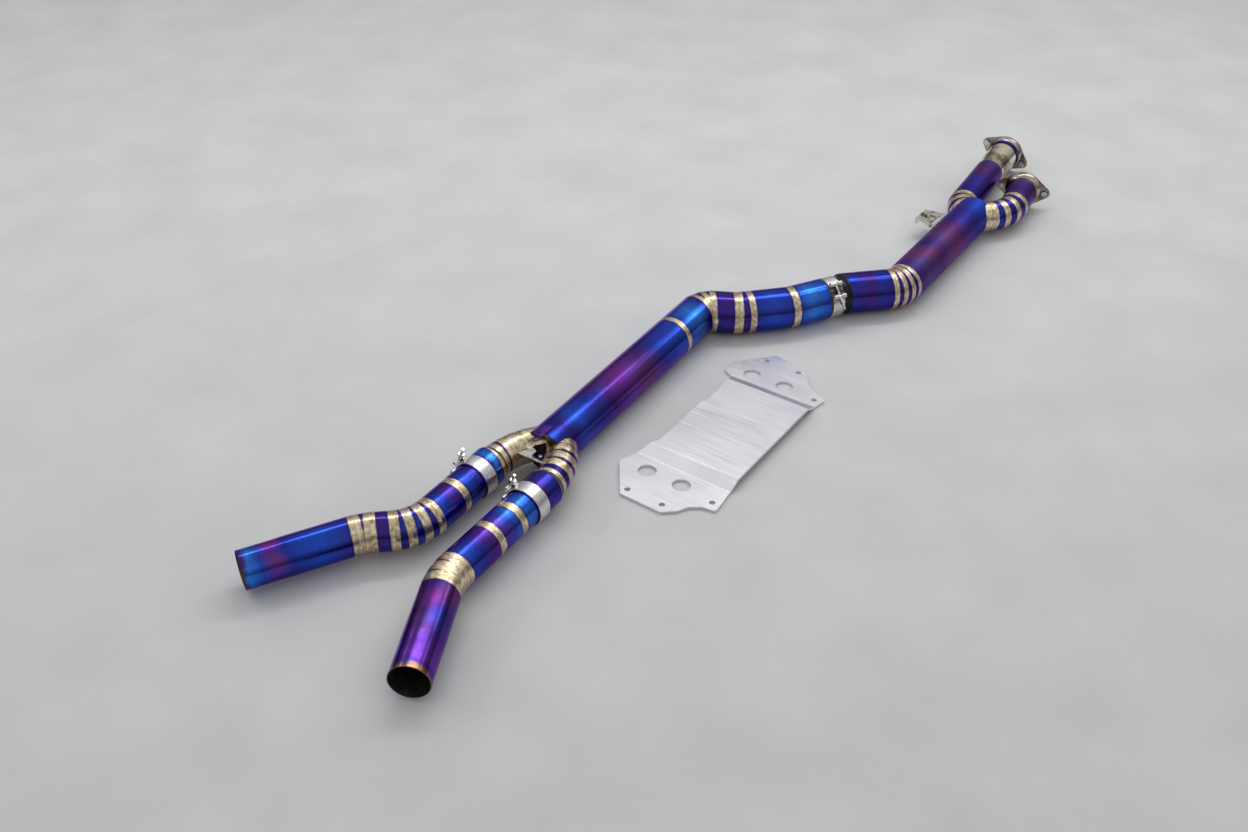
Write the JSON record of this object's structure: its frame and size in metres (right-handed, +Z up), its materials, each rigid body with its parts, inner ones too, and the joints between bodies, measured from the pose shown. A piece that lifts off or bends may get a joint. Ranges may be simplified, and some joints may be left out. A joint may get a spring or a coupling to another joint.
{
  "type": "racing exhaust system",
  "caption": "Heat-tinted titanium exhaust mid-pipe: paired inlet flanges merge to one kinked tube that splits into paired tail pipes, with band clamps and a loose brace plate.",
  "frame": {"origin": "middle of the bounding box at the base plane that the pipes and the plate lie on", "axes": "+X along the long tube towards the engine inlets, +Y to the left tail, +Z up"},
  "size_m": [2.3153, 0.7158, 0.0991],
  "materials": {
    "titanium_blue": "heat tinted titanium, blue to purple, polished",
    "titanium_gold": "titanium with straw and gold heat bands beside the welds, blue between them",
    "clamp_steel": "satin stainless strap",
    "bolt_steel": "bright stainless hardware",
    "flange_steel": "polished stamped steel with a straw tint",
    "plate_aluminium": "satin brushed sheet"
  },
  "bodies": {
    "mid_pipe": {"long_tube": "titanium_blue", "lead_in_tube": "titanium_blue", "first_bend_rings": "titanium_gold", "centre_tube": "titanium_blue", "slotted_socket": "titanium_blue", "left_outlet_sleeve": "titanium_blue", "right_outlet_sleeve": "titanium_blue", "left_outlet_elbow": "titanium_gold", "right_outlet_elbow": "titanium_gold", "rear_merge_cap": "titanium_gold", "crotch_gusset": "titanium_gold", "shield_tab": "titanium_blue"},
    "front_pipe": {"slip_stub": "titanium_blue", "link_tube": "titanium_blue", "second_bend_rings": "titanium_gold", "front_tube": "titanium_blue", "front_merge_cap": "titanium_gold", "left_inlet_elbow": "titanium_gold", "right_inlet_elbow": "titanium_gold", "left_inlet_tube": "titanium_blue", "right_inlet_tube": "titanium_blue", "left_inlet_cone": "titanium_gold", "left_inlet_collar": "titanium_blue", "left_inlet_flare": "flange_steel", "right_inlet_flare": "flange_steel", "hanger_bracket": "flange_steel", "hanger_bolt": "bolt_steel"},
    "left_flange": {"left_flange": "flange_steel", "left_flange_studs": "bolt_steel"},
    "right_flange": {"right_flange": "flange_steel", "right_flange_studs": "bolt_steel"},
    "mid_clamp": {"mid_clamp_band": "clamp_steel", "mid_clamp_t_bolt": "bolt_steel", "mid_clamp_trunnion": "bolt_steel", "mid_clamp_nut": "bolt_steel"},
    "left_clamp": {"left_clamp_band": "clamp_steel", "left_clamp_t_bolt": "bolt_steel", "left_clamp_trunnion": "bolt_steel", "left_clamp_nut": "bolt_steel"},
    "right_clamp": {"right_clamp_band": "clamp_steel", "right_clamp_t_bolt": "bolt_steel", "right_clamp_trunnion": "bolt_steel", "right_clamp_nut": "bolt_steel"},
    "right_tail": {"right_tail_slip_tube": "titanium_blue", "right_tail_middle_tube": "titanium_blue", "right_tail_lead_tube": "titanium_blue", "right_tail_bend_rings": "titanium_gold", "right_tail_end_tube": "titanium_blue"},
    "left_tail": {"left_tail_slip_tube": "titanium_blue", "left_tail_lead_tube": "titanium_blue", "left_tail_inner_bend_rings": "titanium_gold", "left_tail_short_tube": "titanium_blue", "left_tail_outer_bend_ring": "titanium_gold", "left_tail_end_tube": "titanium_blue"},
    "brace_plate": {"brace_plate": "plate_aluminium"}
  },
  "joints": [
    {"name": "mid_clamp_turn", "type": "hinge", "parent": "mid_pipe", "child": "mid_clamp", "pos_m": [0.21255, -0.10891, 0.045], "axis": [0.848, -0.5299, 0], "range_deg": [0, 8]},
    {"name": "front_slip", "type": "slide", "parent": "mid_clamp", "child": "front_pipe", "axis": [0.848, -0.5299, 0], "range_m": [-0.008, 0.02]},
    {"name": "left_clamp_turn", "type": "hinge", "parent": "mid_pipe", "child": "left_clamp", "pos_m": [-0.70057, 0.15308, 0.045], "axis": [1, 0, 0], "range_deg": [-3, 12]},
    {"name": "left_tail_slip", "type": "slide", "parent": "left_clamp", "child": "left_tail", "axis": [-1, 0, 0], "range_m": [-0.008, 0.02]},
    {"name": "right_clamp_turn", "type": "hinge", "parent": "mid_pipe", "child": "right_clamp", "pos_m": [-0.70957, 0.03309, 0.045], "axis": [1, 0, 0], "range_deg": [-12, 4]},
    {"name": "right_tail_slip", "type": "slide", "parent": "right_clamp", "child": "right_tail", "axis": [-1, 0, 0], "range_m": [-0.008, 0.02]},
    {"name": "left_flange_turn", "type": "hinge", "parent": "front_pipe", "child": "left_flange", "pos_m": [1.13499, -0.18358, 0.045], "axis": [0.9994, 0.0349, 0], "range_deg": [-40, 10]},
    {"name": "right_flange_turn", "type": "hinge", "parent": "front_pipe", "child": "right_flange", "pos_m": [0.95788, -0.29268, 0.045], "axis": [0.9945, 0.1045, 0], "range_deg": [-15, 15]},
    {"name": "brace_plate_lift", "type": "slide", "parent": "mid_pipe", "child": "brace_plate", "axis": [0, 0, 1], "range_m": [0, 0.3]}
  ]
}
